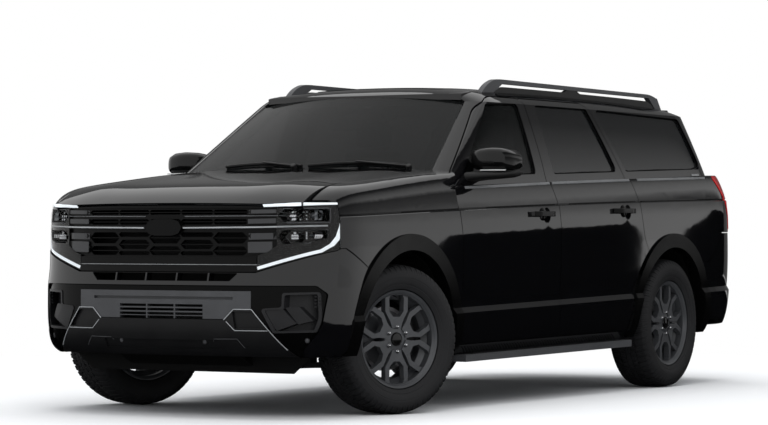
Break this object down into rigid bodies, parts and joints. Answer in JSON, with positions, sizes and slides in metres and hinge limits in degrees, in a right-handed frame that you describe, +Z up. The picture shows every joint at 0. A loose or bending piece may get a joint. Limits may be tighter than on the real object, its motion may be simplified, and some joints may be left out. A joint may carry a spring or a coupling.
{
  "type": "large three-row suv",
  "caption": "Full-size three-row SUV with hinged doors, hood and liftgate, steered front wheels, free-rolling wheels and a hollow cabin with seats.",
  "frame": {"origin": "on the ground, below the middle of the bounding box", "axes": "+Y towards the tail, +X towards the vehicle's left side, +Z up"},
  "size_m": [2.3698, 5.5512, 1.9057],
  "materials": {
    "body_paint": "gloss",
    "gloss_black": "gloss",
    "grey_trim": "satin",
    "grille_black": "satin",
    "black_plastic": "grained",
    "lamp_clear": "clear",
    "lamp_white": "frosted",
    "lamp_red": "gloss",
    "clear_glass": "polished",
    "tinted_glass": "polished",
    "chassis_metal": "satin",
    "engine_metal": "cast",
    "exhaust_steel": "brushed",
    "cabin_trim": "soft grain",
    "seat_leather": "grained",
    "wheel_grey": "satin painted",
    "tyre_rubber": "matt"
  },
  "bodies": {
    "root": {"body_side_left": "body_paint", "body_side_right": "body_paint", "bumper_mask": "gloss_black", "chassis_frame": "chassis_metal", "cowl": "black_plastic", "dashboard": "cabin_trim", "engine_block": "engine_metal", "exhaust": "exhaust_steel", "fenders": "body_paint", "floor_pan": "chassis_metal", "fog_bezels": "grey_trim", "front_bumper": "body_paint", "front_carrier": "black_plastic", "fuel_tank": "black_plastic", "grille": "grille_black", "headlamp_lenses": "lamp_clear", "headlamps": "gloss_black", "light_strips": "lamp_white", "plate_panel": "grey_trim", "quarter_glass": "tinted_glass", "rear_bumper": "body_paint", "roof_panel": "body_paint", "roof_rails": "grey_trim", "running_boards": "grey_trim", "seats": "seat_leather", "skid_plate": "grey_trim", "steering_wheel": "cabin_trim", "suspension": "chassis_metal", "tail_lamps": "lamp_red", "under_shield": "grey_trim", "wheel_arch_trims": "black_plastic", "wheel_housings": "black_plastic", "windscreen": "clear_glass"},
    "front_door_left": {"front_door_left": "body_paint", "front_door_glass_left": "clear_glass", "mirror_left": "gloss_black"},
    "front_door_right": {"front_door_right": "body_paint", "front_door_glass_right": "clear_glass", "mirror_right": "gloss_black"},
    "rear_door_left": {"rear_door_left": "body_paint", "rear_door_glass_left": "tinted_glass"},
    "rear_door_right": {"rear_door_right": "body_paint", "rear_door_glass_right": "tinted_glass"},
    "hood": {"hood": "body_paint"},
    "liftgate": {"liftgate": "body_paint", "liftgate_glass": "tinted_glass"},
    "steer_left": {"knuckle_left": "chassis_metal"},
    "steer_right": {"knuckle_right": "chassis_metal"},
    "wheel_front_left": {"wheel_front_left": "wheel_grey", "tyre_front_left": "tyre_rubber"},
    "wheel_front_right": {"wheel_front_right": "wheel_grey", "tyre_front_right": "tyre_rubber"},
    "wheel_rear_left": {"wheel_rear_left": "wheel_grey", "tyre_rear_left": "tyre_rubber"},
    "wheel_rear_right": {"wheel_rear_right": "wheel_grey", "tyre_rear_right": "tyre_rubber"}
  },
  "joints": [
    {"name": "front_door_left_hinge", "type": "hinge", "parent": "root", "child": "front_door_left", "pos_m": [1.017, -1.262, 0.8], "axis": [0, 0, -1], "range_deg": [0, 66]},
    {"name": "front_door_right_hinge", "type": "hinge", "parent": "root", "child": "front_door_right", "pos_m": [-1.017, -1.262, 0.8], "axis": [0, 0, 1], "range_deg": [0, 66]},
    {"name": "rear_door_left_hinge", "type": "hinge", "parent": "root", "child": "rear_door_left", "pos_m": [1.017, -0.07, 0.8], "axis": [0, 0, -1], "range_deg": [0, 68]},
    {"name": "rear_door_right_hinge", "type": "hinge", "parent": "root", "child": "rear_door_right", "pos_m": [-1.017, -0.07, 0.8], "axis": [0, 0, 1], "range_deg": [0, 68]},
    {"name": "hood_hinge", "type": "hinge", "parent": "root", "child": "hood", "pos_m": [0, -1.27, 1.33], "axis": [-1, 0, 0], "range_deg": [0, 50]},
    {"name": "liftgate_hinge", "type": "hinge", "parent": "root", "child": "liftgate", "pos_m": [0, 2.17, 1.8], "axis": [1, 0, 0], "range_deg": [0, 78]},
    {"name": "steer_left", "type": "hinge", "parent": "root", "child": "steer_left", "pos_m": [0.784, -1.812, 0.41], "axis": [0, 0, 1], "range_deg": [-14, 54]},
    {"name": "steer_right", "type": "hinge", "parent": "root", "child": "steer_right", "pos_m": [-0.784, -1.812, 0.41], "axis": [0, 0, 1], "range_deg": [-14, 54]},
    {"name": "wheel_front_left_spin", "type": "hinge", "parent": "steer_left", "child": "wheel_front_left", "pos_m": [0.85448, -1.83765, 0.41], "axis": [0.9397, -0.342, 0], "continuous": true},
    {"name": "wheel_front_right_spin", "type": "hinge", "parent": "steer_right", "child": "wheel_front_right", "pos_m": [-0.85448, -1.78635, 0.41], "axis": [0.9397, -0.342, 0], "continuous": true},
    {"name": "wheel_rear_left_spin", "type": "hinge", "parent": "root", "child": "wheel_rear_left", "pos_m": [0.859, 1.513, 0.41], "axis": [1, 0, 0], "continuous": true},
    {"name": "wheel_rear_right_spin", "type": "hinge", "parent": "root", "child": "wheel_rear_right", "pos_m": [-0.859, 1.513, 0.41], "axis": [1, 0, 0], "continuous": true}
  ],
  "couplings": [
    {"joint": "steer_right", "follows": "steer_left", "ratio": 1}
  ]
}
